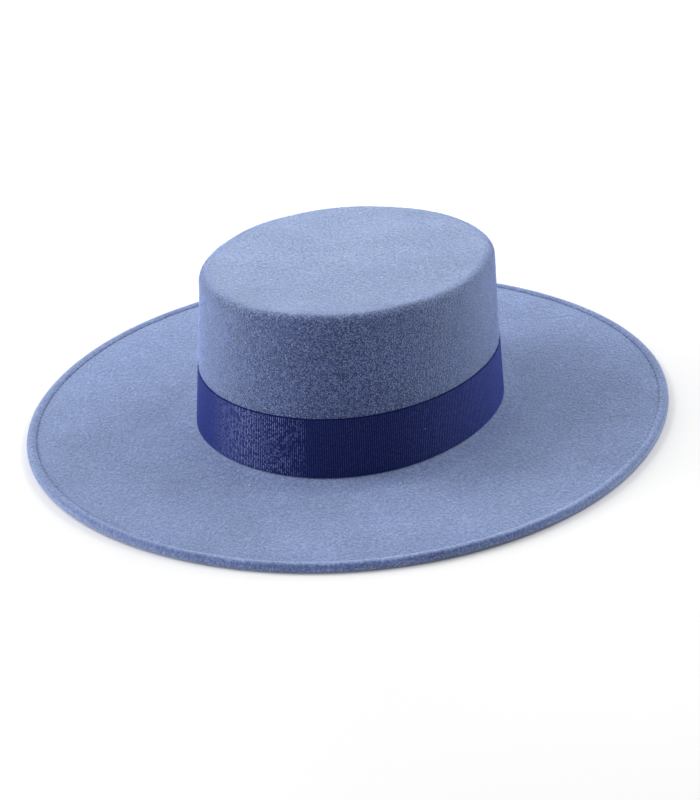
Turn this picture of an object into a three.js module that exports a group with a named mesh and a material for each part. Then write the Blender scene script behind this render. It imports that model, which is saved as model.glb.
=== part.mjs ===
// Gaucho hat: a flat topped felt hat with a wide level brim and a plain ribbon.
// Millimetres, +Z up. The hat rests on its brim at z = 0, centred on the Z axis,
// with the long axis of the head oval along Y and its front towards -Y.
import * as THREE from 'three';

// Head oval, at the foot of the crown's outer wall
const OVAL_LENGTH = 206;
const OVAL_WIDTH = 168;
// 2 makes an ellipse, a larger power squares it
const OVAL_POWER = 2.05;

// Felt
const FELT = 2.4;

// Crown: heights are measured from the floor, midway between front and back
const CROWN_HEIGHT = 95;
const TIP_DOME = 1;
const FRONT_RISE = 2.7;
const SHOULDER_RADIUS = 5.5;
const WALL_LEAN = 4;
// Above 1, the wall leans most at its foot and stands straighter above
const LEAN_POWER = 1.2;

// Brim: widths are from the foot of the wall to the rim, at the ends and sides of the oval
const BREAK_RADIUS = 2;
const BRIM_END_WIDTH = 103;
const BRIM_SIDE_WIDTH = 98;

// Folded edge: the rim is turned up and over, and lies on the brim
const FOLD_WIDTH = 5.5;
const FOLD_GAP = 0.3;
// The turned strip slopes down from the roll at the rim to a pared cut edge
const ROLL_START = 120;
const CUT_EDGE_THICKNESS = 0.8;
const CUT_EDGE_ROUND = 0.4;

// Grosgrain ribbon
const RIBBON_WIDTH = 35;
const RIBBON_THICKNESS = 1;
const RIBBON_CLEARANCE = 0.3;

// The ribbon's outer end lies over its inner end, at this bearing from +X seen from above
const LAP_BEARING = 118;
const LAP_LENGTH = 14;
const LAP_RAMP = 9;
const LAP_MARGIN = 1.5;

// Fineness of the meshes: steps round the oval, and steps along each stretch of a profile
const ROUND_STEPS = 92;
const SHOULDER_STEPS = 5;
const WALL_STEPS = 5;
const BREAK_STEPS = 4;
const FOLD_STEPS = 8;
const RIBBON_ROWS = 4;
const LAP_STEPS = 4;

// Rings of the tip, as shares of its flat part's size, from the shoulder inwards
const TIP_SHARES = [0.85, 0.6, 0.3];

// Heights and radii that follow from the sizes above
const FOOT_Z = FELT + BREAK_RADIUS;
const RIBBON_TOP_Z = FOOT_Z + RIBBON_WIDTH;
const SHOULDER_Z = CROWN_HEIGHT - SHOULDER_RADIUS;
const TIP_INSET = WALL_LEAN + SHOULDER_RADIUS;
const EDGE_RADIUS = FELT + FOLD_GAP / 2;

// Point of the head oval at an angle from +X
function ovalPoint(angle) {
  const soften = (v) => Math.sign(v) * Math.abs(v) ** (2 / OVAL_POWER);
  return new THREE.Vector2(
    (OVAL_WIDTH / 2) * soften(Math.cos(angle)),
    (OVAL_LENGTH / 2) * soften(Math.sin(angle)),
  );
}

// Outward normal of the head oval at one of its points
function ovalNormal(point) {
  const slope = (v, half) => (Math.sign(v) * Math.abs(v / half) ** (OVAL_POWER - 1)) / half;
  return new THREE.Vector2(
    slope(point.x, OVAL_WIDTH / 2),
    slope(point.y, OVAL_LENGTH / 2),
  ).normalize();
}

// Width of the brim at an angle from +X
function brimWidth(angle) {
  return BRIM_SIDE_WIDTH * Math.cos(angle) ** 2 + BRIM_END_WIDTH * Math.sin(angle) ** 2;
}

// How far the crown's outer wall stands in from the oval at a height: a negative offset
function wallOffset(z) {
  const share = THREE.MathUtils.clamp((z - FOOT_Z) / (SHOULDER_Z - FOOT_Z), 0, 1);
  return -WALL_LEAN * (1 - (1 - share) ** LEAN_POWER);
}

// Above the ribbon the crown is drawn out, so that its tip is higher at the front
function liftedZ(y, z) {
  const share = Math.max(0, (z - RIBBON_TOP_Z) / (CROWN_HEIGHT - RIBBON_TOP_Z));
  return z - (FRONT_RISE * share * y) / (OVAL_LENGTH / 2);
}

// A row of a profile is { out, z, brim, scale }: an offset along the oval's normal, a height,
// a share of the brim's width that is added to the offset, and a scale of the whole ring
function row(out, z, brim = 0, scale = 1) {
  return { out, z, brim, scale };
}

function placeRow({ out, z, brim, scale }, angle) {
  const base = ovalPoint(angle);
  const place = ovalNormal(base)
    .multiplyScalar(out + brim * brimWidth(angle))
    .add(base)
    .multiplyScalar(scale);
  return [place.x, place.y, liftedZ(place.y, z)];
}

// Rows along an arc, with angles in degrees from outward (0) to up (90)
function arcRows(centreOut, centreZ, radius, from, to, steps, brim = 0) {
  const rows = [];
  for (let i = 0; i <= steps; i += 1) {
    const angle = THREE.MathUtils.degToRad(from + ((to - from) * i) / steps);
    rows.push(row(centreOut + radius * Math.cos(angle), centreZ + radius * Math.sin(angle), brim));
  }
  return rows;
}

// Rows down the wall between the shoulder and the foot, without its two ends
function wallRows(inset) {
  const rows = [];
  for (let i = 1; i < WALL_STEPS; i += 1) {
    const z = THREE.MathUtils.lerp(SHOULDER_Z, FOOT_Z, i / WALL_STEPS);
    rows.push(row(wallOffset(z) - inset, z));
  }
  return rows;
}

// Rows of the gently domed tip, from its middle out, at a depth below its upper face
function tipRows(depth) {
  const rise = (share) => TIP_DOME * (1 - share ** 2);
  return TIP_SHARES.toReversed().map((share) => (
    row(-TIP_INSET, CROWN_HEIGHT - depth + rise(share), 0, share)));
}

// Upper skin of the crown and brim, from the middle of the tip to the fold
function upperRows() {
  return [
    ...tipRows(0),
    ...arcRows(-TIP_INSET, SHOULDER_Z, SHOULDER_RADIUS, 90, 0, SHOULDER_STEPS),
    ...wallRows(0),
    ...arcRows(BREAK_RADIUS, FOOT_Z, BREAK_RADIUS, 180, 270, BREAK_STEPS),
  ];
}

// The fold, from the slit under the turned strip, over its cut edge and round the rim
function foldRows() {
  const cutTop = FELT + FOLD_GAP + CUT_EDGE_THICKNESS;
  return [
    ...arcRows(-EDGE_RADIUS, EDGE_RADIUS, FOLD_GAP / 2, -90, 90, 2, 1),
    row(-FOLD_WIDTH, FELT + FOLD_GAP, 1),
    row(-FOLD_WIDTH, cutTop - CUT_EDGE_ROUND, 1),
    row(-FOLD_WIDTH + CUT_EDGE_ROUND, cutTop, 1),
    ...arcRows(-EDGE_RADIUS, EDGE_RADIUS, EDGE_RADIUS, ROLL_START, -90, FOLD_STEPS, 1),
  ];
}

// Under skin, from the brim's flat underside up inside the crown to the middle of the tip
function underRows() {
  return [
    ...arcRows(BREAK_RADIUS, FOOT_Z, BREAK_RADIUS + FELT, 270, 180, BREAK_STEPS),
    ...wallRows(FELT).toReversed(),
    ...arcRows(-TIP_INSET, SHOULDER_Z, SHOULDER_RADIUS - FELT, 0, 90, SHOULDER_STEPS),
    ...tipRows(FELT).toReversed(),
  ];
}

function makeGeometry(positions, triangles) {
  const geometry = new THREE.BufferGeometry();
  geometry.setAttribute('position', new THREE.Float32BufferAttribute(positions, 3));
  geometry.setIndex(triangles);
  geometry.computeVertexNormals();
  return geometry;
}

// Two triangles between neighbouring points a, b of one line and c, d of the next
function quad(a, b, c, d) {
  return [a, c, b, b, c, d];
}

// Closed skin through rings of points, from a pole above the first to a pole under the last
function feltGeometry() {
  const rows = [...upperRows(), ...foldRows(), ...underRows()];
  const positions = [];
  const triangles = [];
  for (const each of rows) {
    for (let i = 0; i < ROUND_STEPS; i += 1) {
      positions.push(...placeRow(each, (2 * Math.PI * i) / ROUND_STEPS));
    }
  }
  const upperPole = rows.length * ROUND_STEPS;
  const underPole = upperPole + 1;
  positions.push(0, 0, CROWN_HEIGHT + TIP_DOME);
  positions.push(0, 0, CROWN_HEIGHT + TIP_DOME - FELT);
  const lastRing = (rows.length - 1) * ROUND_STEPS;
  for (let i = 0; i < ROUND_STEPS; i += 1) {
    const next = (i + 1) % ROUND_STEPS;
    triangles.push(upperPole, i, next);
    triangles.push(underPole, lastRing + next, lastRing + i);
    for (let ring = 0; ring < lastRing; ring += ROUND_STEPS) {
      const below = ring + ROUND_STEPS;
      triangles.push(...quad(ring + i, ring + next, below + i, below + next));
    }
  }
  return makeGeometry(positions, triangles);
}

// Stations along the ribbon: the turn, the ramp onto the other end, and the lap over it.
// Each is an angle from +X and a layer, 0 on the felt and 1 on top of the ribbon's inner end
function ribbonStations() {
  const start = THREE.MathUtils.degToRad(LAP_BEARING);
  const radius = ovalPoint(start).length();
  const rampEnd = 2 * Math.PI - LAP_MARGIN / radius;
  const rampStart = rampEnd - LAP_RAMP / radius;
  const lapEnd = 2 * Math.PI + LAP_LENGTH / radius;
  const stations = [];
  for (let i = 0; i < ROUND_STEPS; i += 1) {
    stations.push({ angle: start + (rampStart * i) / ROUND_STEPS, layer: 0 });
  }
  for (let i = 0; i < LAP_STEPS; i += 1) {
    const share = i / LAP_STEPS;
    const angle = start + THREE.MathUtils.lerp(rampStart, rampEnd, share);
    stations.push({ angle, layer: THREE.MathUtils.smoothstep(share, 0, 1) });
  }
  for (let i = 0; i <= LAP_STEPS; i += 1) {
    const angle = start + THREE.MathUtils.lerp(rampEnd, lapEnd, i / LAP_STEPS);
    stations.push({ angle, layer: 1 });
  }
  return stations;
}

// Section of the ribbon at a station: down its outer face, then up its inner face
function ribbonSection({ angle, layer }) {
  const inner = RIBBON_CLEARANCE + layer * (RIBBON_THICKNESS + RIBBON_CLEARANCE);
  const outer = inner + RIBBON_THICKNESS;
  const face = (offset) => Array.from({ length: RIBBON_ROWS + 1 }, (_, i) => {
    const z = THREE.MathUtils.lerp(RIBBON_TOP_Z, FOOT_Z, i / RIBBON_ROWS);
    return placeRow(row(wallOffset(z) + offset, z), angle);
  });
  return [...face(outer), ...face(inner).toReversed()];
}

// Closed strip through the sections, with a flat cap on each end of the ribbon
function ribbonGeometry() {
  const sections = ribbonStations().map(ribbonSection);
  const size = sections[0].length;
  const positions = sections.flat(2);
  const triangles = [];
  for (let start = 0; start < (sections.length - 1) * size; start += size) {
    for (let i = 0; i < size; i += 1) {
      const next = (i + 1) % size;
      triangles.push(...quad(start + i, start + size + i, start + next, start + size + next));
    }
  }
  const lastSection = (sections.length - 1) * size;
  for (let i = 0; i < RIBBON_ROWS; i += 1) {
    const far = size - 1 - i;
    triangles.push(...quad(i, i + 1, far, far - 1));
    triangles.push(...quad(lastSection + i, lastSection + far, lastSection + i + 1, lastSection + far - 1));
  }
  return makeGeometry(positions, triangles);
}

function feltBody() {
  const material = new THREE.MeshStandardMaterial({ color: '#8397c2', roughness: 0.95, metalness: 0 });
  const mesh = new THREE.Mesh(feltGeometry(), material);
  mesh.name = 'felt_body';
  return mesh;
}

function hatband() {
  const material = new THREE.MeshStandardMaterial({ color: '#2b3270', roughness: 0.55, metalness: 0 });
  const mesh = new THREE.Mesh(ribbonGeometry(), material);
  mesh.name = 'hatband';
  return mesh;
}

const hat = new THREE.Group();
hat.add(feltBody(), hatband());

export default hat;
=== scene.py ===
"""Gaucho hat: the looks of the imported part, on a plain pale floor.

The felt body and the ribbon are rebuilt in fine meshes on the same lines as their solids.
Then come the short nap of the felt, the felling stitches along the folded edge, the one
tack stitch on the ribbon, and specks of lint.
"""

import math

import bpy
import numpy as np
from mathutils import Matrix, Vector


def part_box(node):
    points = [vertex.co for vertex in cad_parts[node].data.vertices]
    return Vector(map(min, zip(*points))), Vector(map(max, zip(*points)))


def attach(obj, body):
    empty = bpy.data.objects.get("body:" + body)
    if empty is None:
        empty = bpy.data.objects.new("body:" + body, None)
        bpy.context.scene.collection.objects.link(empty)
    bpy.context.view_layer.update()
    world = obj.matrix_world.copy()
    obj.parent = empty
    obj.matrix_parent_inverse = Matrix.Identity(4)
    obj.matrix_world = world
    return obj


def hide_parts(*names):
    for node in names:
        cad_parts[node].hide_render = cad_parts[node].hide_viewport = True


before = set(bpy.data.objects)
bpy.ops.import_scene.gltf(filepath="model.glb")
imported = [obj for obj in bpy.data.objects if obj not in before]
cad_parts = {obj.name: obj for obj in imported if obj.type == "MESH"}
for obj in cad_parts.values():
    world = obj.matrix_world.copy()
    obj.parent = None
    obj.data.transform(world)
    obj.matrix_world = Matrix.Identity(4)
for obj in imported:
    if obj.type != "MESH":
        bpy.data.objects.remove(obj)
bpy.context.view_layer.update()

MM = 0.001
FULL_TURN = 2 * math.pi

# Felt
FELT = 2.4 * MM
SHOULDER_RADIUS = 5.5 * MM
WALL_LEAN = 4 * MM
LEAN_POWER = 1.2
FRONT_RISE = 2.7 * MM
TIP_DOME = 1 * MM
BREAK_RADIUS = 0.9 * MM
FOOT_LIFT = 1.6 * MM
FOOT_LIFT_WIDTH = 18 * MM
OVAL_POWER = 2.05

# Folded edge
FOLD_WIDTH = 5.5 * MM
FOLD_GAP = 0.05 * MM
SLIT_DEPTH = 1.2 * MM
CUT_EDGE_THICKNESS = 0.38 * MM
CUT_EDGE_ROUND = 0.3 * MM
BY_CUT_EDGE = 0.5 * MM
ROLL_HALF_HEIGHT = 2.55 * MM
ROLL_DEPTH = 2.2 * MM
ROLL_POWER = 2.5
EDGE_LIFT = 1.6 * MM
EDGE_LIFT_START = 0.45
UNDER_RIM_START = 0.95
UNDER_BRIM_CROWDING = 1.7

# Unevenness of the felt: each swell's height, wavelength and seed, and where those of the wall set in
SWELL_WAVES = 7
SWELL_SPREAD = (0.75, 1.4)
WALL_SWELLS = [(0.35 * MM, 70 * MM, 3), (0.06 * MM, 17 * MM, 4)]
TIP_SWELLS = [(0.3 * MM, 60 * MM, 5), (0.06 * MM, 20 * MM, 6)]
SWELL_START = 4 * MM
SWELL_FULL = 22 * MM
TIP_SWELL_MARGIN = 1 * MM

# Rise of the rim in waves round the hat: number of waves, cosine part and sine part
RIM_WAVES = [(2, 0.04 * MM, 0.12 * MM), (3, 0.03 * MM, 0.15 * MM),
             (4, -0.11 * MM, -0.04 * MM), (5, -0.25 * MM, 0.07 * MM)]
RIM_SAMPLES = 720

# The oval's departure from an even curve: at the foot, and two fuller places higher up
FOOT_SPREAD = 0.6 * MM
FOOT_CORNERS = 0.7 * MM
FOOT_CORNER_BEARING = math.radians(296)
FULL_PLACES = [(math.radians(165), 1.2 * MM), (math.radians(56), 0.6 * MM)]
FULL_PLACE_WIDTH = math.radians(25)

# Reach of the marks that the felt's material reads
WALL_MARK_RISE = 8 * MM
WALL_MARK_FADE_BELOW = 1.5 * MM
WALL_MARK_FADE_ABOVE = 0.5 * MM
TIP_MARK_START = 2 * MM
ROLL_MARK_TOP = 4.5 * MM
CUT_LINE_HALF = 0.1 * MM
CUT_LINE_LOWEST = 1 * MM

# Fineness of the felt's mesh
ROUND_STEPS = 600
TIP_STEPS = 25
UNDER_TIP_STEPS = 9
SHOULDER_STEPS = 9
WALL_STEPS = 25
UNDER_WALL_STEPS = 9
BREAK_STEPS = 4
BRIM_STEPS = 28
UNDER_BRIM_STEPS = 14
SLIT_ROWS = 4
CUT_EDGE_STEPS = 4
STRIP_STEPS = 6
ROLL_STEPS = 15

# Ribbon
RIBBON_DROP = 0.3 * MM
RIBBON_RAISED = 0.45 * MM
RIBBON_STANDS_OUT = 1.3 * MM
RIBBON_THICKNESS = 0.7 * MM
RIBBON_CLEARANCE = 0.15 * MM
RIBBON_SLACK = 0.08 * MM
SLACK_WAVE = 55 * MM
SLACK_SEED = 8
LAP_BEARING = math.radians(118)
LAP_LENGTH = 14 * MM
LAP_RAMP = 9 * MM
LAP_MARGIN = 1.5 * MM

# Ribbon's ribs and section: its edge rows give share of the thickness, share of the ribs, and drop
RIB_PITCH = 1.3 * MM
RIB_DEPTH = 0.07 * MM
RIB_POWER = 0.7
COLUMNS_PER_RIB = 6
RIBBON_EDGE_ROWS = [(0.55, 0, 0.03 * MM), (0.95, 0.3, 0.35 * MM)]
FACE_ROWS = 10
FACE_MARGIN = 0.03
BACK_ROWS = 5
OVAL_SAMPLES = 2000

# Nap
NAP_SEED = 7
NAP_WIDTH = 0.17 * MM
NAP_ROOT = 0.06 * MM
BEHIND_RIBBON_ROWS = 14
RIM_BARE_ROWS = 2

# Threads
TUBE_SIDES = 6
TUBE_TAPER = 0.35
ASLANT = [0.13, 0.21, 0.97]

# Stitches along the folded edge
STITCH_SEED = 21
STITCH_SAMPLES = 4000
STITCH_PITCH = 5.5 * MM
STITCH_SHIFT = 0.18
STITCH_REACH = (0.7, 1.3)
STITCH_SLANT = 1.1 * MM
STITCH_THREAD = 0.13 * MM

# Tack stitch on the ribbon: its shape is the share of its half length, and the rise, of each point
TACK_BEARING = math.radians(327.9)
TACK_Z = 23.3 * MM
TACK_HALF = 1.0 * MM
TACK_BULGE = 0.25 * MM
TACK_THREAD = 0.18 * MM
TACK_SHAPE = [(-1, -0.2 * MM), (-0.4, 0.05 * MM), (0.2, 0.15 * MM), (0.7, 0), (1, -0.25 * MM)]

# Lint: bearing and share of the way out over the brim of each speck
LINT = [(math.radians(255.0), 0.94), (math.radians(265.2), 1), (math.radians(267.0), 0.165)]
LINT_SEED = 33
LINT_THREAD = 0.32 * MM
LINT_CURL = 0.3 * MM
LINT_POINTS = 4
LINT_FLATNESS = 0.5

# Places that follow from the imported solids
_, felt_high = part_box("felt_body")
band_low, band_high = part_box("hatband")
felt_points = np.array([v.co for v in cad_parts["felt_body"].data.vertices])
OVAL_HALF_LENGTH = -band_low.y - RIBBON_STANDS_OUT
OVAL_HALF_WIDTH = -band_low.x - RIBBON_STANDS_OUT
BRIM_END_WIDTH = felt_high.y - OVAL_HALF_LENGTH
BRIM_SIDE_WIDTH = felt_high.x - OVAL_HALF_WIDTH
ON_AXIS = 1 * MM
CROWN_HEIGHT = felt_points[np.hypot(felt_points[:, 0], felt_points[:, 1]) < ON_AXIS, 2].max() - TIP_DOME
FOOT_Z = FELT + FOOT_LIFT + BREAK_RADIUS
RIBBON_LOW_Z = band_low.z - RIBBON_DROP + RIBBON_RAISED
RIBBON_TOP_Z = band_high.z - RIBBON_DROP
EDGE_Z = FELT + EDGE_LIFT
CUT_TOP_Z = EDGE_Z + FOLD_GAP + CUT_EDGE_THICKNESS
SHOULDER_Z = CROWN_HEIGHT - SHOULDER_RADIUS
TIP_INSET = WALL_LEAN + SHOULDER_RADIUS

# Camera, found from the hat's outline in the 700 by 800 photograph
IMAGE_HEIGHT = 800
SENSOR = 36
VIEW_AZIMUTH = math.radians(26.0)
VIEW_ELEVATION = math.radians(22.77)
VIEW_ROLL = math.radians(-1.5)
VIEW_DISTANCE = 1.324
FOCAL_PIXELS = 2274
HAT_MIDDLE = Vector((0, 0, 0.05))
AIM_RIGHT = -1.1 * MM
AIM_UP = -41.1 * MM

# Directions of the view, level with the floor: to its right, and away from it
RIGHT = Vector((math.cos(VIEW_AZIMUTH), math.sin(VIEW_AZIMUTH), 0))
AWAY = Vector((-math.sin(VIEW_AZIMUTH), math.cos(VIEW_AZIMUTH), 0))
UP = Vector((0, 0, 1))

# Lights: name, place to the right, away and up, size and power
LIGHTS = [
    ("back_low_light", 0.0, 1.7, 0.45, 0.9, 9.5),
    ("back_right_light", 1.2, 1.1, 0.8, 0.8, 9.9),
    ("right_light", 1.7, 0.1, 0.6, 0.8, 1.6),
    ("left_light", -1.7, 0.1, 0.6, 0.8, 13.9),
    ("front_left_light", -1.53, -0.75, 0.6, 0.8, 8.5),
    ("top_left_light", -1.1, 0.3, 1.3, 0.9, 10.9),
    ("top_right_light", 1.1, 0.3, 1.3, 0.9, 8.6),
]
SKY = 0.40
FLOOR_HALF = 6
FLOOR_COLOUR = (0.88, 0.88, 0.88)

# Colours of the felt, its nap and its threads
FELT_COLOURS = [(0.25, (0.006, 0.012, 0.060)), (0.5, (0.070, 0.104, 0.285)), (0.9, (0.30, 0.37, 0.68))]
FELT_SHEEN = (0.66, 0.80, 1.0)
# Painted shade that deepens the felt's colour on the wall, and painted light that makes it lighter and warmer
# on the tip
WALL_PAINTED_SHADE = (-0.49, -0.47, -0.26)
TIP_PAINTED_LIGHT = (0.54, 0.38, 0.04)
NAP_ON_WALL = (0.34, 0.45, 0.85)
# Nap on the tip, brim and rim, painted whiter and warmer than the nap on the wall: painted sheen of the light
# from above
NAP_ON_TOP_PAINTED_SHEEN = (0.37, 0.455, 0.77)
# Fuzz standing off the wall, far paler than the felt: painted sheen where it catches the light at the crown's
# outline
FUZZ_PAINTED_SHEEN = (0.62, 0.72, 0.97)
FELLING_COLOUR = (0.05, 0.075, 0.21)
TACK_COLOUR = (0.16, 0.17, 0.33)
LINT_COLOUR = (0.95, 0.95, 1.0)

# Noises of the felt: scale, detail and roughness
COARSE_GRAIN = (1050, 2, 0.7)
FINE_GRAIN = (1250, 2, 0.7)
SOFT_GRAIN = (700, 2, 0.6)
BLOTCHES = (30, 3, 0.55)
SPECK_SCALE = 1050
SPECK_EDGE = (0.1, 0.65)
COMBED_STRETCH = 1.9

# Strength of the felt's noises and marks in its tone
NOISE_MEAN = 0.5
SPECK_MEAN = 0.22
COARSE_STRENGTH = 0.8
SPECK_STRENGTH = 0.85
FINE_STRENGTH = 0.5
SOFT_STRENGTH = 0.7
BLOTCH_STRENGTH = 0.25
ROLL_ROUGHNESS = 0.8
MIDDLE_TONE = 0.5
STRIP_LIGHTER = 0.02
# Painted light on the roll of the rim
ROLL_PAINTED_LIGHT = 0.09
# Painted shade line along the cut edge of the turned strip, a negative lightening
CUT_LINE_PAINTED_SHADE = -0.1
FELT_RELIEF = 0.9 * MM

# Ribbon's colours, and what its tone and shine are made of
RIBBON_COLOURS = [(0, (0.003, 0.004, 0.022)), (0.12, (0.009, 0.013, 0.062)), (0.9, (0.014, 0.020, 0.096))]
RIBBON_GLOSS_TINT = (0.5, 0.58, 1)
RIBBON_SHEEN = (0.1, 0.18, 1)
CREST_HALF_WIDTH = 0.36
RIB_NOISE_STEP = 3.71
FLOAT_NOISE = (0.8, 1, 0.5)
FLOAT_EDGE = (0.40, 0.66)
THREAD_NOISE = (2.2, 1, 0.5)
BETWEEN_RIBS_TONE = 0.1
# Painted light on the rib crests, leaving shade between the ribs
CREST_PAINTED_LIGHT = 0.26
# Painted glint of the floats' dashes
FLOAT_GLINT_STRENGTH = 0.68
THREAD_STRENGTH = 0.3
# Reach of the painted shade along the ribbon's top and bottom edges
PAINTED_EDGE_SHADE = (0.3, 0.55)
RIBBON_RELIEF = 0.05 * MM
SHINY_TONES = (0.25, 0.95)
SHINE = (0.03, 6.0)

# Stretches of the ribbon, in ribs from the lap: where the painted glint of its dashes sets in and ends, and
# where its right end is more matt
PAINTED_GLINT_SETS_IN = (147, 191)
PAINTED_GLINT_ENDS = (209, 211)
QUIET = 0.2
MATT_SETS_IN = (282, 312)
MATT = 0.3


# Shape of the oval, wall and brim

def unit(vectors):
    return vectors / np.linalg.norm(vectors, axis=-1, keepdims=True)


def rounded(value, power):
    """A cosine or sine bent so that with its partner it draws a squarer ellipse of that power."""
    return np.sign(value) * np.abs(value) ** (2 / power)


def oval(angles):
    """Points of the head oval at angles from +X, and their outward normals."""
    halves = np.array([OVAL_HALF_WIDTH, OVAL_HALF_LENGTH])
    share = np.stack([rounded(np.cos(angles), OVAL_POWER), rounded(np.sin(angles), OVAL_POWER)], axis=-1)
    slope = np.sign(share) * np.abs(share) ** (OVAL_POWER - 1) / halves
    return share * halves, unit(slope)


def brim_width(angles):
    return BRIM_SIDE_WIDTH * np.cos(angles) ** 2 + BRIM_END_WIDTH * np.sin(angles) ** 2


def up_the_wall(z):
    """Share of the way from the crown's foot to its shoulder."""
    return np.clip((z - FOOT_Z) / (SHOULDER_Z - FOOT_Z), 0, 1)


def wall_offset(z):
    return -WALL_LEAN * (1 - (1 - up_the_wall(z)) ** LEAN_POWER)


def lifted(y, z):
    """Height after the crown's rise to the front, which starts at the ribbon's top."""
    share = np.maximum(0, (z - RIBBON_TOP_Z) / (CROWN_HEIGHT - RIBBON_TOP_Z))
    return z - FRONT_RISE * share * y / OVAL_HALF_LENGTH


def smooth_step(x, low, high):
    share = np.clip((x - low) / (high - low), 0, 1)
    return share * share * (3 - 2 * share)


def foot_spread(angles, z):
    """How much further out the crown's foot stands than the even oval, less and less up the wall."""
    corners = np.cos(4 * (angles - FOOT_CORNER_BEARING))
    return (FOOT_SPREAD + FOOT_CORNERS * corners) * (1 - up_the_wall(z))


def fullness(angles, z):
    """Two places where the upper crown stands out a little more."""
    total = 0
    for bearing, amount in FULL_PLACES:
        turn = np.angle(np.exp(1j * (angles - bearing)))
        total = total + amount * np.exp(-(turn / FULL_PLACE_WIDTH) ** 2)
    return total * smooth_step(z, FOOT_Z, SHOULDER_Z)


def brim_lift(share):
    """Height of the brim's underside: it rises a little to the crown and under the turned edge."""
    at_foot = FOOT_LIFT * (1 - smooth_step(share * BRIM_END_WIDTH, 0, FOOT_LIFT_WIDTH))
    return at_foot + EDGE_LIFT * smooth_step(share, EDGE_LIFT_START, 1)


def swell(points, wavelength, seed):
    """Soft irregular waves in space, between about -1 and 1."""
    random = np.random.default_rng(seed)
    total = np.zeros(points.shape[:-1])
    for _ in range(SWELL_WAVES):
        direction = random.normal(size=3)
        direction /= np.linalg.norm(direction)
        number = FULL_TURN / (wavelength * random.uniform(*SWELL_SPREAD))
        total += np.cos(points @ direction * number + random.uniform(0, FULL_TURN))
    return total / math.sqrt(SWELL_WAVES)


def swells(points, layers):
    """Sum of the swells of a table."""
    return sum(height * swell(points, wavelength, seed) for height, wavelength, seed in layers)


def rim_wave(angles):
    """Rise of the rim off the floor, 0 where the hat rests."""
    def rise(around):
        return sum(a * np.cos(k * around) + b * np.sin(k * around) for k, a, b in RIM_WAVES)
    lowest = rise(np.linspace(0, FULL_TURN, RIM_SAMPLES)).min()
    return rise(angles) - lowest


def place(rows, angles):
    """Grid of points, a ring for each row (out, z, brim share, scale) and a column for each angle."""
    points, normals = oval(angles)
    out, z, brim, scale = (column[:, None] for column in np.array(rows, float).T)
    offset = out + brim * brim_width(angles)
    offset = offset + foot_spread(angles, z) * (1 - brim) + fullness(angles, z)
    flat = (points + normals * offset[..., None]) * scale[..., None]
    height = lifted(flat[..., 1], z + 0 * offset)
    even = np.concatenate([flat, height[..., None]], axis=-1)
    on_wall = smooth_step(z, RIBBON_TOP_Z + SWELL_START, RIBBON_TOP_Z + SWELL_FULL)
    on_tip = smooth_step(z, SHOULDER_Z, CROWN_HEIGHT - FELT - TIP_SWELL_MARGIN)
    sideways = normals * (on_wall * swells(even, WALL_SWELLS) * scale)[..., None]
    lift = on_tip * swells(even, TIP_SWELLS) + np.clip(brim, 0, 1) ** 2 * rim_wave(angles)
    return even + np.concatenate([sideways, lift[..., None]], axis=-1)


def arc(centre_out, centre_z, radius, start, end, steps, brim=0):
    """Rows along an arc, from one angle in degrees to another."""
    angles = np.radians(np.linspace(start, end, steps + 1))
    return [(centre_out + radius * math.cos(a), centre_z + radius * math.sin(a), brim, 1) for a in angles]


def wall(inset, steps):
    """Rows down the wall, as deep inside its outer face as the inset."""
    heights = np.linspace(SHOULDER_Z, FOOT_Z, steps + 1)[1:-1]
    return [(wall_offset(z) - inset, z, 0, 1) for z in heights]


def tip(depth, steps):
    """Rows over the flat tip, from its middle out, at a depth under its top."""
    shares = np.linspace(0, 1, steps + 1)[1:-1]
    return [(-TIP_INSET, CROWN_HEIGHT - depth + TIP_DOME * (1 - s * s), 0, s) for s in shares]


# Meshes

def mesh_object(name, points, faces, material, smooth=True):
    mesh = bpy.data.meshes.new(name)
    mesh.from_pydata(points, [], faces)
    mesh.validate()
    mesh.materials.append(material)
    mesh.polygons.foreach_set("use_smooth", np.full(len(mesh.polygons), smooth))
    mesh.update()
    piece = bpy.data.objects.new(name, mesh)
    bpy.context.scene.collection.objects.link(piece)
    return piece


def ring_faces(rows, columns):
    """Quads between neighbouring rings, each closed on itself."""
    ring = np.arange(rows - 1)[:, None] * columns
    here = np.arange(columns)[None, :]
    after = (here + 1) % columns
    quads = np.stack([ring + here, ring + columns + here, ring + columns + after, ring + after], axis=-1)
    return quads.reshape(-1, 4).tolist()


def bar_faces(sections, size):
    """Quads along a bar whose sections have size corners each, and its two ends."""
    start = np.arange(sections - 1)[:, None] * size
    corner = start + np.arange(size)
    after = start + (np.arange(size) + 1) % size
    faces = np.stack([corner, after, after + size, corner + size], axis=-1).reshape(-1, 4).tolist()
    faces.append(list(reversed(range(size))))
    faces.append([(sections - 1) * size + i for i in range(size)])
    return faces


# Felt body

def roll(start, end, steps):
    """Rounded rim, an oval a little squarer than an ellipse, from one angle to another."""
    angles = np.radians(np.linspace(start, end, steps + 1))
    out = ROLL_DEPTH * (rounded(np.cos(angles), ROLL_POWER) - 1)
    z = ROLL_HALF_HEIGHT * (rounded(np.sin(angles), ROLL_POWER) + 1)
    return [(o, h, 1, 1) for o, h in zip(out, z)]


def brim_rows():
    """Top of the brim, from the foot to just before the cut edge."""
    start, end = BREAK_RADIUS, -FOLD_WIDTH - BY_CUT_EDGE
    shares = np.linspace(0, 1, BRIM_STEPS + 1)[1:]
    return [(start + (end - start) * s, FELT + brim_lift(s), s, 1) for s in shares]


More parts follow.
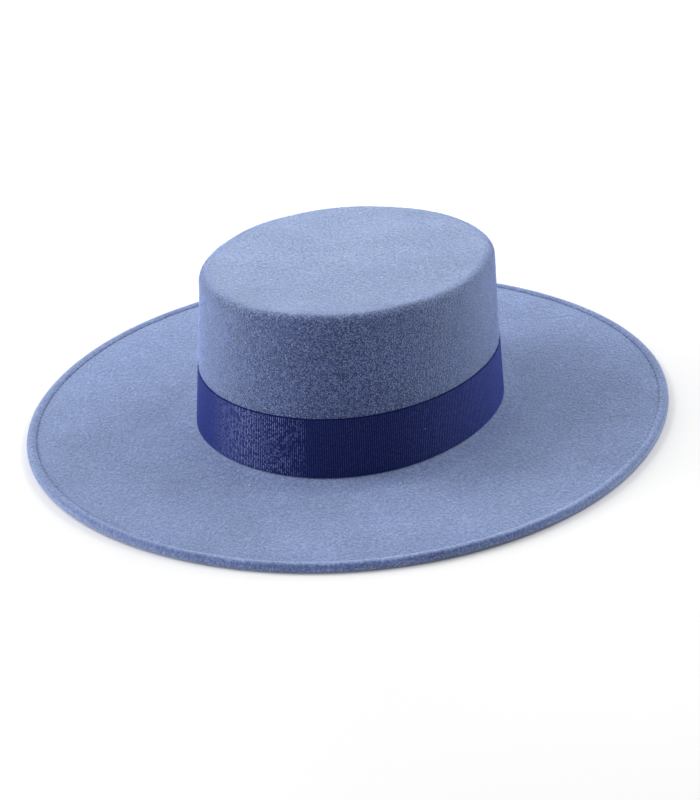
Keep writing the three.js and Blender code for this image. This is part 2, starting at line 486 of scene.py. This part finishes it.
def slit_rows():
    """The thin slit under the turned strip, in and out again."""
    return [
        (-FOLD_WIDTH, EDGE_Z, 1, 1),
        (-FOLD_WIDTH + SLIT_DEPTH, EDGE_Z, 1, 1),
        (-FOLD_WIDTH + SLIT_DEPTH, EDGE_Z + FOLD_GAP, 1, 1),
        (-FOLD_WIDTH, EDGE_Z + FOLD_GAP, 1, 1),
    ]


def strip_rows():
    """Top of the turned strip, rising softly from its cut edge to the roll at the rim."""
    start, end = -FOLD_WIDTH + CUT_EDGE_ROUND, -ROLL_DEPTH
    rise = 2 * ROLL_HALF_HEIGHT - CUT_TOP_Z
    shares = np.linspace(0, 1, STRIP_STEPS + 1)[1:-1]
    return [(start + (end - start) * s, CUT_TOP_Z + rise * math.sin(math.pi / 2 * s), 1, 1) for s in shares]


def under_brim_rows():
    """Underside of the brim, from the rim to the foot, with its rows closer together by the rim."""
    shares = 1 - np.linspace(0, 1, UNDER_BRIM_STEPS + 1)[1:-1] ** UNDER_BRIM_CROWDING
    rows = []
    for s in shares:
        z = brim_lift(s) * (1 - smooth_step(s, UNDER_RIM_START, 1))
        rows.append((-ROLL_DEPTH * s + BREAK_RADIUS * (1 - s), z, s, 1))
    return rows


def felt_rows():
    """Rows of the whole felt body, from the tip's middle out over the top and back underneath."""
    return [
        *tip(0, TIP_STEPS),
        *arc(-TIP_INSET, SHOULDER_Z, SHOULDER_RADIUS, 90, 0, SHOULDER_STEPS),
        *wall(0, WALL_STEPS),
        *arc(BREAK_RADIUS, FOOT_Z, BREAK_RADIUS, 180, 270, BREAK_STEPS),
        *brim_rows(),
        *slit_rows(),
        *arc(-FOLD_WIDTH + CUT_EDGE_ROUND, CUT_TOP_Z - CUT_EDGE_ROUND, CUT_EDGE_ROUND, 180, 90,
             CUT_EDGE_STEPS, 1),
        *strip_rows(),
        *roll(90, -90, ROLL_STEPS),
        *under_brim_rows(),
        *arc(BREAK_RADIUS, FOOT_Z, BREAK_RADIUS + FELT, 270, 180, BREAK_STEPS),
        *reversed(wall(FELT, UNDER_WALL_STEPS)),
        *arc(-TIP_INSET, SHOULDER_Z, SHOULDER_RADIUS - FELT, 0, 90, SHOULDER_STEPS),
        *reversed(tip(FELT, UNDER_TIP_STEPS)),
    ]


def mark_points(mesh, name, values):
    mark = mesh.attributes.new(name, "FLOAT", "POINT")
    mark.data.foreach_set("value", np.asarray(values, np.float32))


def mark_felt(mesh, rows):
    """Marks on the felt for its material: wall and tip (for its grain, and for painted shade on the wall and
    painted light on the tip), turned strip, roll (for its grain and painted light), and the line at the cut
    edge (for a painted shade line).
    """
    out, z, brim, _ = np.array(rows, float).T
    on_rim = brim == 1
    up_wall = smooth_step(z, FOOT_Z, FOOT_Z + WALL_MARK_RISE)
    on_tip = smooth_step(z, CROWN_HEIGHT - WALL_MARK_FADE_BELOW, CROWN_HEIGHT + WALL_MARK_FADE_ABOVE)
    down_roll = 1 - smooth_step(z, ROLL_HALF_HEIGHT, ROLL_MARK_TOP)
    by_cut_edge = np.abs(out + FOLD_WIDTH) < CUT_LINE_HALF
    marks = {
        "wall": np.where(brim > 0, 0, up_wall * (1 - on_tip)),
        "tip": smooth_step(z, SHOULDER_Z + TIP_MARK_START, CROWN_HEIGHT),
        "strip": np.where(on_rim & (out > -FOLD_WIDTH) & (z > ROLL_HALF_HEIGHT), 1, 0),
        "roll": np.where(on_rim & (out > -ROLL_DEPTH), down_roll, 0),
        "cut_line_painted_shade": np.where(on_rim & by_cut_edge & (z > CUT_LINE_LOWEST), 1, 0),
    }
    for name, values in marks.items():
        at_pole = 1 if name == "tip" else 0
        mark_points(mesh, name, np.concatenate([np.repeat(values, ROUND_STEPS), [at_pole, at_pole]]))


def felt_mesh(material):
    """The felt body, and the grid of its points without the two at the tip's middle."""
    rows = felt_rows()
    angles = np.linspace(0, FULL_TURN, ROUND_STEPS, endpoint=False)
    grid = place(rows, angles)
    points = grid.reshape(-1, 3)
    faces = ring_faces(len(rows), ROUND_STEPS)
    upper_pole, under_pole = len(points), len(points) + 1
    last = (len(rows) - 1) * ROUND_STEPS
    for i in range(ROUND_STEPS):
        after = (i + 1) % ROUND_STEPS
        faces.append((upper_pole, i, after))
        faces.append((under_pole, last + after, last + i))
    pole_z = CROWN_HEIGHT + TIP_DOME
    points = np.concatenate([points, [(0, 0, pole_z), (0, 0, pole_z - FELT)]])
    felt = mesh_object("felt", points, faces, material)
    mark_felt(felt.data, rows)
    return felt, grid


# Ribbon

def ribbon_section():
    """Corners of the ribbon's section: share out of its thickness, share of the ribs, drop from the top."""
    width = RIBBON_TOP_Z - RIBBON_LOW_Z
    face = [(1, 1, width * s) for s in np.linspace(FACE_MARGIN, 1 - FACE_MARGIN, FACE_ROWS)]
    bottom = [(share, ribbed, width - drop) for share, ribbed, drop in reversed(RIBBON_EDGE_ROWS)]
    back = [(0, 0, width * s) for s in np.linspace(1, 0, BACK_ROWS)]
    return [*RIBBON_EDGE_ROWS, *face, *bottom, *back]


def ribbon_turns(radius):
    """Turns from the lap to each column of the ribbon, round the crown and over its own start."""
    around = oval(np.linspace(0, FULL_TURN, OVAL_SAMPLES))[0]
    perimeter = np.linalg.norm(np.diff(around, axis=0), axis=1).sum() + FULL_TURN * RIBBON_THICKNESS
    step = FULL_TURN / (round(perimeter / RIB_PITCH) * COLUMNS_PER_RIB)
    return np.arange(0, FULL_TURN + LAP_LENGTH / radius, step)


def ribbon_grid():
    """Points of the ribbon, a section for each of its columns."""
    radius = float(np.linalg.norm(oval(np.array(LAP_BEARING))[0]))
    turned = ribbon_turns(radius)
    angles = LAP_BEARING + turned
    points, normals = oval(angles)
    ramp_end = FULL_TURN - LAP_MARGIN / radius
    layer = smooth_step(turned, ramp_end - LAP_RAMP / radius, ramp_end)
    inner = RIBBON_CLEARANCE + layer * (RIBBON_THICKNESS + RIBBON_CLEARANCE)
    rib = np.abs(np.sin(np.pi * np.arange(len(turned)) / COLUMNS_PER_RIB)) ** RIB_POWER
    relief = RIB_DEPTH * (rib - 1)
    level = np.concatenate([points, 0 * points[:, :1]], axis=1)
    slack = RIBBON_SLACK * (1 + swell(level, SLACK_WAVE, SLACK_SEED))
    rings = []
    for face, ribbed, drop in ribbon_section():
        z = RIBBON_TOP_Z - drop
        out = wall_offset(z) + inner + face * (RIBBON_THICKNESS + ribbed * relief + slack)
        out = out + foot_spread(angles, z)
        flat = points + normals * out[:, None]
        rings.append(np.concatenate([flat, np.full((len(turned), 1), z)], axis=1))
    return np.stack(rings, axis=1)


def lay_out_ribbon(mesh, grid):
    """Layout for the ribbon's material: ribs from the lap, and height counted in the ribs' pitch."""
    columns, size = grid.shape[:2]
    along = np.repeat(np.arange(columns) / COLUMNS_PER_RIB, size)
    height = grid[..., 2].ravel() / RIB_PITCH
    layout = mesh.uv_layers.new(name="ribs_and_height")
    corners = np.array([loop.vertex_index for loop in mesh.loops])
    layout.data.foreach_set("uv", np.stack([along[corners], height[corners]], axis=1).ravel())


def ribbon_mesh(material):
    grid = ribbon_grid()
    ribbon = mesh_object("ribbon", grid.reshape(-1, 3), bar_faces(*grid.shape[:2]), material)
    lay_out_ribbon(ribbon.data, grid)
    return ribbon


# Nap

def sample_felt(grid, first, last, count, random):
    """Places and outward normals spread evenly over the rows of the felt from first to last."""
    a = grid[first:last]
    b = grid[first + 1:last + 1]
    c, d = np.roll(a, -1, axis=1), np.roll(b, -1, axis=1)
    across = np.cross(b - a, c - a)
    size = np.linalg.norm(across, axis=-1)
    chosen = random.choice(size.size, count, p=(size / size.sum()).ravel())
    u, v = random.random((2, count, 1))
    a, b, c, d, across = (x.reshape(-1, 3)[chosen] for x in (a, b, c, d, across))
    places = (a * (1 - u) + b * u) * (1 - v) + (c * (1 - u) + d * u) * v
    return places, unit(across)


def nap_mesh(name, roots, normals, length, lift, material, random):
    """Short fibres, each a narrow blade that rises from the felt, of lengths in mm and lifts in degrees."""
    count = len(roots)
    aside = unit(np.cross(normals, random.normal(size=(count, 3))))
    rise = np.radians(random.uniform(*lift, (count, 1)))
    reach = random.uniform(*length, (count, 1)) * MM
    ahead = aside * np.cos(rise) + normals * np.sin(rise)
    root = roots - normals * NAP_ROOT
    half = unit(np.cross(ahead, random.normal(size=(count, 3)))) * NAP_WIDTH / 2
    points = np.stack([root - half, root + half, root + ahead * reach], axis=1)
    points[..., 2] = np.maximum(points[..., 2], 0)
    blades = np.arange(3 * count).reshape(count, 3).tolist()
    return mesh_object(name, points.reshape(-1, 3), blades, material, smooth=False)


# Stitches and lint

def tube_mesh(name, paths, radius, material):
    """Round threads along paths of points, each drawn in at both ends."""
    turns = np.linspace(0, FULL_TURN, TUBE_SIDES, endpoint=False)[:, None]
    points, faces = [], []
    for path in paths:
        path = np.asarray(path)
        ahead = unit(np.gradient(path, axis=0))
        across = unit(np.cross(ahead, ASLANT))
        other = np.cross(ahead, across)
        taper = np.sin(np.linspace(TUBE_TAPER, math.pi - TUBE_TAPER, len(path))) ** 0.5
        outward = across[:, None] * np.cos(turns) + other[:, None] * np.sin(turns)
        rings = path[:, None] + radius * taper[:, None, None] * outward
        start = len(points)
        points.extend(rings.reshape(-1, 3))
        faces.extend([start + corner for corner in face] for face in bar_faces(len(path), TUBE_SIDES))
    return mesh_object(name, points, faces, material)


def stitch_bearings(random):
    """Bearings of the stitches, nearly evenly along the cut edge, and the turn that one metre of it makes."""
    fine = np.linspace(0, FULL_TURN, STITCH_SAMPLES)
    line = place([(-FOLD_WIDTH, EDGE_Z, 1, 1)], fine)[0]
    run = np.concatenate([[0], np.cumsum(np.linalg.norm(np.diff(line, axis=0), axis=1))])
    length = run[-1]
    count = round(length / STITCH_PITCH)
    marks = (np.arange(count) + random.uniform(-STITCH_SHIFT, STITCH_SHIFT, count)) * length / count
    return np.interp(marks, run, fine), FULL_TURN / length


def stitch_knots(reach):
    """Distance out from the cut edge, and height, of a stitch's points, from the brim up on to the strip."""
    return [(-0.5 * reach * MM, EDGE_Z - 0.15 * MM), (-0.3 * MM, EDGE_Z + 0.1 * MM),
            (0, CUT_TOP_Z - 0.15 * MM), (0.3 * MM, CUT_TOP_Z + 0.03 * MM),
            (0.7 * reach * MM, CUT_TOP_Z - 0.05 * MM)]


def stitch_paths():
    """Small slanting stitches that hold the cut edge of the turned strip down on the brim."""
    random = np.random.default_rng(STITCH_SEED)
    bearings, turn_per_length = stitch_bearings(random)
    paths = []
    for bearing in bearings:
        knots = stitch_knots(random.uniform(*STITCH_REACH))
        slants = np.linspace(-0.5, 0.5, len(knots)) * STITCH_SLANT * turn_per_length
        paths.append([place([(-FOLD_WIDTH + out, z, 1, 1)], np.array([bearing + slant]))[0, 0]
                      for (out, z), slant in zip(knots, slants)])
    return paths


def tack_paths():
    """One short tack stitch on the ribbon's face, a bent thread."""
    angle = np.array([TACK_BEARING])
    points, normals = oval(angle)
    on_face = RIBBON_CLEARANCE + RIBBON_THICKNESS + 2 * RIBBON_SLACK
    out = wall_offset(TACK_Z) + foot_spread(angle, TACK_Z) + on_face
    centre = np.array([*(points[0] + normals[0] * out[0]), TACK_Z])
    outward = np.array([*normals[0], 0])
    along = np.array([-normals[0][1], normals[0][0], 0])
    return [[centre + along * TACK_HALF * s + outward * TACK_BULGE * (1 - s * s) + np.array([0, 0, rise])
             for s, rise in TACK_SHAPE]]


def lint_paths():
    """Specks of pale lint on the brim, each a short curled thread."""
    random = np.random.default_rng(LINT_SEED)
    paths = []
    for bearing, share in LINT:
        row = (BREAK_RADIUS * (1 - share) - FOLD_WIDTH * share, FELT + brim_lift(share), share, 1)
        height = LINT_THREAD + (FOLD_GAP + CUT_EDGE_THICKNESS if share == 1 else 0)
        centre = place([row], np.array([bearing]))[0, 0] + np.array([0, 0, height])
        steps = random.normal(size=(LINT_POINTS, 3)) * LINT_CURL
        steps[:, 2] = np.abs(steps[:, 2]) * LINT_FLATNESS
        paths.append(centre + steps)
    return paths


# Nodes of materials

def node_material(name):
    """A new material, its node tree and its shader."""
    material = bpy.data.materials.new(name)
    material.use_nodes = True
    tree = material.node_tree
    shader = next(n for n in tree.nodes if n.type == "BSDF_PRINCIPLED")
    return material, tree, shader


def feed(tree, node, inputs):
    """Set the inputs of a node that get a constant, and link those that get another node's output."""
    for name, value in inputs.items():
        if isinstance(value, bpy.types.NodeSocket):
            tree.links.new(value, node.inputs[name])
        else:
            node.inputs[name].default_value = value


def new_node(tree, kind, inputs, **settings):
    node = tree.nodes.new(kind)
    for name, value in settings.items():
        setattr(node, name, value)
    feed(tree, node, inputs)
    return node


def noise(tree, at, scale, detail, roughness):
    inputs = {"Vector": at, "Scale": scale, "Detail": detail, "Roughness": roughness}
    return new_node(tree, "ShaderNodeTexNoise", inputs).outputs["Fac"]


def ramp(tree, factor, stops):
    node = new_node(tree, "ShaderNodeValToRGB", {"Fac": factor})
    elements = node.color_ramp.elements
    while len(elements) < len(stops):
        elements.new(0.5)
    for element, (position, colour) in zip(elements, stops):
        element.position = position
        element.color = (*colour, 1)
    return node.outputs["Color"]


def bump(tree, height, distance):
    inputs = {"Height": height, "Distance": distance, "Strength": 1.0}
    return new_node(tree, "ShaderNodeBump", inputs).outputs["Normal"]


def axes(tree, vector):
    """Parts X, Y and Z of a vector."""
    return new_node(tree, "ShaderNodeSeparateXYZ", {"Vector": vector}).outputs


def mark(tree, name):
    """Value of one of the felt's marks."""
    return new_node(tree, "ShaderNodeAttribute", {}, attribute_name=name).outputs["Fac"]


def remap(tree, value, old, new):
    """A value moved from its place between the two old numbers to that between the two new ones."""
    inputs = {"Value": value, "From Min": old[0], "From Max": old[1], "To Min": new[0], "To Max": new[1]}
    return new_node(tree, "ShaderNodeMapRange", inputs).outputs["Result"]


def calculate(tree, operation, *values):
    """Output of one arithmetic node."""
    return new_node(tree, "ShaderNodeMath", dict(enumerate(values)), operation=operation).outputs["Value"]


def times(tree, first, second):
    return calculate(tree, "MULTIPLY", first, second)


def total(tree, first, *others):
    for other in others:
        first = calculate(tree, "ADD", first, other)
    return first


def around_zero(tree, value, middle, strength):
    return times(tree, calculate(tree, "SUBTRACT", value, middle), strength)


def plain_material(name, colour, roughness, gloss):
    """One even colour."""
    material, tree, shader = node_material(name)
    feed(tree, shader, {"Base Color": (*colour, 1), "Roughness": roughness, "Specular IOR Level": gloss})
    return material


# Material of the felt

def rough_grain(tree, position):
    """Coarse grain with round specks."""
    coarse = noise(tree, position, *COARSE_GRAIN)
    cells = new_node(tree, "ShaderNodeTexVoronoi", {"Vector": position, "Scale": SPECK_SCALE})
    heart = remap(tree, cells.outputs["Distance"], SPECK_EDGE, (1, 0))
    chance = axes(tree, cells.outputs["Color"])["X"]
    return total(tree, around_zero(tree, coarse, NOISE_MEAN, COARSE_STRENGTH),
                 around_zero(tree, times(tree, heart, chance), SPECK_MEAN, SPECK_STRENGTH))


def combed_grain(tree, position):
    """Finer grain, drawn out along the way that the view looks."""
    inputs = {"Vector": position, "Rotation": (0, 0, VIEW_AZIMUTH), "Scale": (1, COMBED_STRETCH, 1)}
    lying = new_node(tree, "ShaderNodeMapping", inputs, vector_type="TEXTURE").outputs["Vector"]
    fine = noise(tree, lying, *FINE_GRAIN)
    soft = noise(tree, lying, *SOFT_GRAIN)
    return total(tree, around_zero(tree, fine, NOISE_MEAN, FINE_STRENGTH),
                 around_zero(tree, soft, NOISE_MEAN, SOFT_STRENGTH))


def felt_tone(tree, position, graded):
    """Grain, wide blotches, a lighter turned strip, painted light on the roll of the rim, and a painted shade
    line at the cut edge.
    """
    blotches = noise(tree, position, *BLOTCHES)
    # Painted shade line along the cut edge, uneven with the blotches
    cut_line_painted_shade = times(tree, mark(tree, "cut_line_painted_shade"), blotches)
    return total(tree, graded, around_zero(tree, blotches, NOISE_MEAN, BLOTCH_STRENGTH), MIDDLE_TONE,
                 times(tree, mark(tree, "strip"), STRIP_LIGHTER),
                 # Painted light on the roll of the rim
                 times(tree, mark(tree, "roll"), ROLL_PAINTED_LIGHT),
                 times(tree, cut_line_painted_shade, CUT_LINE_PAINTED_SHADE))


def felt_painted_light_and_shade(tree, colour):
    """The colour, with painted shade that deepens it on the wall, and painted light that makes it lighter and
    warmer on the tip.
    """
    on_wall, on_tip = mark(tree, "wall"), mark(tree, "tip")
    painted_light_and_shade_parts = {}
    # Factors of painted shade on the wall and painted light on the tip
    for axis, at_wall, at_tip in zip("XYZ", WALL_PAINTED_SHADE, TIP_PAINTED_LIGHT):
        painted_light_and_shade_parts[axis] = total(tree, 1, times(tree, on_wall, at_wall), times(tree, on_tip, at_tip))
    painted_light_and_shade = new_node(tree, "ShaderNodeCombineXYZ", painted_light_and_shade_parts).outputs["Vector"]
    inputs = {0: colour, 1: painted_light_and_shade}
    return new_node(tree, "ShaderNodeVectorMath", inputs, operation="MULTIPLY").outputs["Vector"]


def felt_material():
    """Wool felt: rough grain on the wall and most of the roll, combed grain elsewhere."""
    material, tree, shader = node_material("felt")
    position = new_node(tree, "ShaderNodeTexCoord", {}).outputs["Object"]
    rough_roll = times(tree, mark(tree, "roll"), ROLL_ROUGHNESS)
    rough_part = calculate(tree, "MAXIMUM", mark(tree, "wall"), rough_roll)
    combed_part = calculate(tree, "SUBTRACT", 1, rough_part)
    graded = total(tree, times(tree, rough_grain(tree, position), rough_part),
                   times(tree, combed_grain(tree, position), combed_part))
    colour = ramp(tree, felt_tone(tree, position, graded), FELT_COLOURS)
    feed(tree, shader, {
        "Base Color": felt_painted_light_and_shade(tree, colour),
        "Normal": bump(tree, graded, FELT_RELIEF),
        "Roughness": 1,
        "Specular IOR Level": 0,
        "Sheen Weight": 1.0,
        "Sheen Roughness": 0.6,
        "Sheen Tint": (*FELT_SHEEN, 1),
    })
    return material


# Material of the ribbon

def rib_crest(tree, along):
    """1 on the middle of each rib, 0 between the ribs."""
    across_rib = calculate(tree, "FRACT", along)
    off_middle = calculate(tree, "ABSOLUTE", calculate(tree, "SUBTRACT", across_rib, 0.5))
    return remap(tree, off_middle, (0, CREST_HALF_WIDTH), (1, 0))


def rib_floats(tree, along, up):
    """Broken dashes up each rib, at other heights on each."""
    rib = calculate(tree, "FLOOR", along)
    own_place = new_node(tree, "ShaderNodeCombineXYZ", {"X": times(tree, rib, RIB_NOISE_STEP), "Y": up})
    return remap(tree, noise(tree, own_place.outputs["Vector"], *FLOAT_NOISE), FLOAT_EDGE, (0, 1))


def painted_glint_stretch(tree, along):
    """How bright the dashes are: 1 on the stretch where their glint is painted, and quiet elsewhere."""
    return times(tree, remap(tree, along, PAINTED_GLINT_SETS_IN, (QUIET, 1)),
                 remap(tree, along, PAINTED_GLINT_ENDS, (1, QUIET)))


def off_painted_edge_shade(tree, up):
    """1 on the ribbed face, 0 at its top and bottom edges, where the tone falls to the darkest: painted shade
    along the selvedges.
    """
    top, low = RIBBON_TOP_Z / RIB_PITCH, RIBBON_LOW_Z / RIB_PITCH
    outer, inner = PAINTED_EDGE_SHADE
    at_top = remap(tree, up, (top - inner, top - outer), (0, 1))
    at_foot = remap(tree, up, (low + outer, low + inner), (1, 0))
    return calculate(tree, "SUBTRACT", 1, calculate(tree, "MAXIMUM", at_top, at_foot))


def ribbon_tone(tree, layout, along, up):
    """How light the ribbon is: rib crests with painted light and shade between them, dashes with a painted
    glint, threads, and painted shade at its top and bottom edges.
    """
    crest = rib_crest(tree, along)
    # Dashes of the floats, lighter on one stretch: painted glint
    floats_and_painted_glint = times(tree, times(tree, crest, rib_floats(tree, along, up)), painted_glint_stretch(tree, along))
    threads = noise(tree, layout, *THREAD_NOISE)
    tone = total(tree, BETWEEN_RIBS_TONE, times(tree, crest, CREST_PAINTED_LIGHT),
                 times(tree, floats_and_painted_glint, FLOAT_GLINT_STRENGTH),
                 around_zero(tree, threads, NOISE_MEAN, THREAD_STRENGTH))
    return times(tree, calculate(tree, "MAXIMUM", tone, 0), off_painted_edge_shade(tree, up))


def ribbon_material():
    """Grosgrain: upright ribs, with the warp threads' floats catching the light in broken dashes, a glint
    painted into the colour as well as bumped.
    """
    material, tree, shader = node_material("ribbon")
    layout = new_node(tree, "ShaderNodeUVMap", {}, uv_map="ribs_and_height").outputs["UV"]
    parts = axes(tree, layout)
    along, up = parts["X"], parts["Y"]
    tone = ribbon_tone(tree, layout, along, up)
    shine = times(tree, remap(tree, tone, SHINY_TONES, SHINE), remap(tree, along, MATT_SETS_IN, (1, MATT)))
    tangent = new_node(tree, "ShaderNodeTangent", {}, direction_type="UV_MAP", uv_map="ribs_and_height")
    feed(tree, shader, {
        "Base Color": ramp(tree, tone, RIBBON_COLOURS),
        "Normal": bump(tree, tone, RIBBON_RELIEF),
        "Tangent": tangent.outputs["Tangent"],
        "Anisotropic": 1.0,
        "Anisotropic Rotation": 0.25,
        "Roughness": 0.48,
        "Specular IOR Level": shine,
        "Specular Tint": (*RIBBON_GLOSS_TINT, 1),
        "Sheen Weight": 0.4,
        "Sheen Roughness": 0.6,
        "Sheen Tint": (*RIBBON_SHEEN, 1),
    })
    return material


# Stage, light and camera

def floor_piece():
    half = FLOOR_HALF
    corners = [(-half, -half, 0), (half, -half, 0), (half, half, 0), (-half, half, 0)]
    material = plain_material("pale_floor", FLOOR_COLOUR, roughness=1, gloss=0)
    return mesh_object("floor", corners, [(0, 1, 2, 3)], material, smooth=False)


def area_light(name, right, away, up, size, power):
    data = bpy.data.lights.new(name, "AREA")
    data.shape = "DISK"
    data.size = size
    data.energy = power
    light = bpy.data.objects.new(name, data)
    light.location = RIGHT * right + AWAY * away + UP * up
    light.rotation_euler = (light.location - HAT_MIDDLE).to_track_quat("Z", "Y").to_euler()
    bpy.context.scene.collection.objects.link(light)


def make_lights():
    for name, right, away, up, size, power in LIGHTS:
        area_light(name, right, away, up, size, power)
    world = bpy.data.worlds.new("soft_sky")
    bpy.context.scene.world = world
    world.use_nodes = True
    sky = world.node_tree.nodes["Background"]
    sky.inputs["Color"].default_value = (1, 1, 1, 1)
    sky.inputs["Strength"].default_value = SKY


def make_camera():
    data = bpy.data.cameras.new("camera")
    data.sensor_width = SENSOR
    data.lens = FOCAL_PIXELS * SENSOR / IMAGE_HEIGHT
    camera = bpy.data.objects.new("camera", data)
    back = UP * math.sin(VIEW_ELEVATION) - AWAY * math.cos(VIEW_ELEVATION)
    tilted_up = back.cross(RIGHT)
    camera.location = HAT_MIDDLE + back * VIEW_DISTANCE
    aim = HAT_MIDDLE + RIGHT * AIM_RIGHT + tilted_up * AIM_UP
    look = (camera.location - aim).to_track_quat("Z", "Y").to_matrix().to_4x4()
    camera.matrix_world = Matrix.Translation(camera.location) @ look @ Matrix.Rotation(VIEW_ROLL, 4, "Z")
    bpy.context.scene.collection.objects.link(camera)
    bpy.context.scene.camera = camera


bpy.context.scene.view_settings.view_transform = "Standard"
floor_piece()
make_lights()
make_camera()

felt, felt_grid = felt_mesh(felt_material())
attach(felt, "root")
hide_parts("felt_body")

ribbon = ribbon_mesh(ribbon_material())
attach(ribbon, "root")
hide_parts("hatband")

random = np.random.default_rng(NAP_SEED)
wall_fibres = plain_material("wall_nap", NAP_ON_WALL, roughness=1, gloss=0.1)
# Fibres of the upper faces, painted whiter: painted sheen
top_fibres_painted_sheen = plain_material("top_nap_painted_sheen", NAP_ON_TOP_PAINTED_SHEEN, roughness=1, gloss=0.1)
# Pale fuzz fibres: painted sheen
fuzz_fibres_painted_sheen = plain_material("fuzz", FUZZ_PAINTED_SHEEN, roughness=1, gloss=0.1)
foot_row = TIP_STEPS + SHOULDER_STEPS + WALL_STEPS
brim_row = foot_row + BREAK_STEPS
slit_row = brim_row + BRIM_STEPS
cut_edge_row = slit_row + SLIT_ROWS
roll_end_row = cut_edge_row + CUT_EDGE_STEPS + STRIP_STEPS + ROLL_STEPS

# Nap: name, first and last row of the felt, number of fibres, their lengths in mm, lifts in degrees, material
NAP = [
    ("tip_nap", 0, TIP_STEPS, 90000, (0.4, 0.9), (10, 40), top_fibres_painted_sheen),
    ("wall_nap", TIP_STEPS - 1, foot_row, 150000, (0.5, 1.1), (12, 55), wall_fibres),
    ("brim_nap", brim_row, slit_row - 1, 180000, (0.4, 1.0), (12, 45), top_fibres_painted_sheen),
    ("rim_nap", cut_edge_row + RIM_BARE_ROWS, roll_end_row - RIM_BARE_ROWS, 25000, (0.4, 0.9), (12, 50),
     top_fibres_painted_sheen),
    ("wall_fuzz", TIP_STEPS, brim_row - BEHIND_RIBBON_ROWS, 75000, (0.6, 1.2), (45, 85), fuzz_fibres_painted_sheen),
]
for name, first_row, last_row, count, length, lift, fibres in NAP:
    roots, normals = sample_felt(felt_grid, first_row, last_row, count, random)
    piece = nap_mesh(name, roots, normals, length, lift, fibres, random)
    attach(piece, "root")

# Threads: name, paths, thickness from the middle out, name and colour of the material, slot
THREADS = [
    ("stitches", stitch_paths(), STITCH_THREAD, "felling_thread", FELLING_COLOUR, "felt"),
    ("tack_stitch", tack_paths(), TACK_THREAD, "tack_thread", TACK_COLOUR, "ribbon"),
    ("lint", lint_paths(), LINT_THREAD, "lint", LINT_COLOUR, "felt"),
]
for name, paths, radius, material_name, colour, slot in THREADS:
    piece = tube_mesh(name, paths, radius, plain_material(material_name, colour, roughness=0.7, gloss=0.5))
    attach(piece, "root")
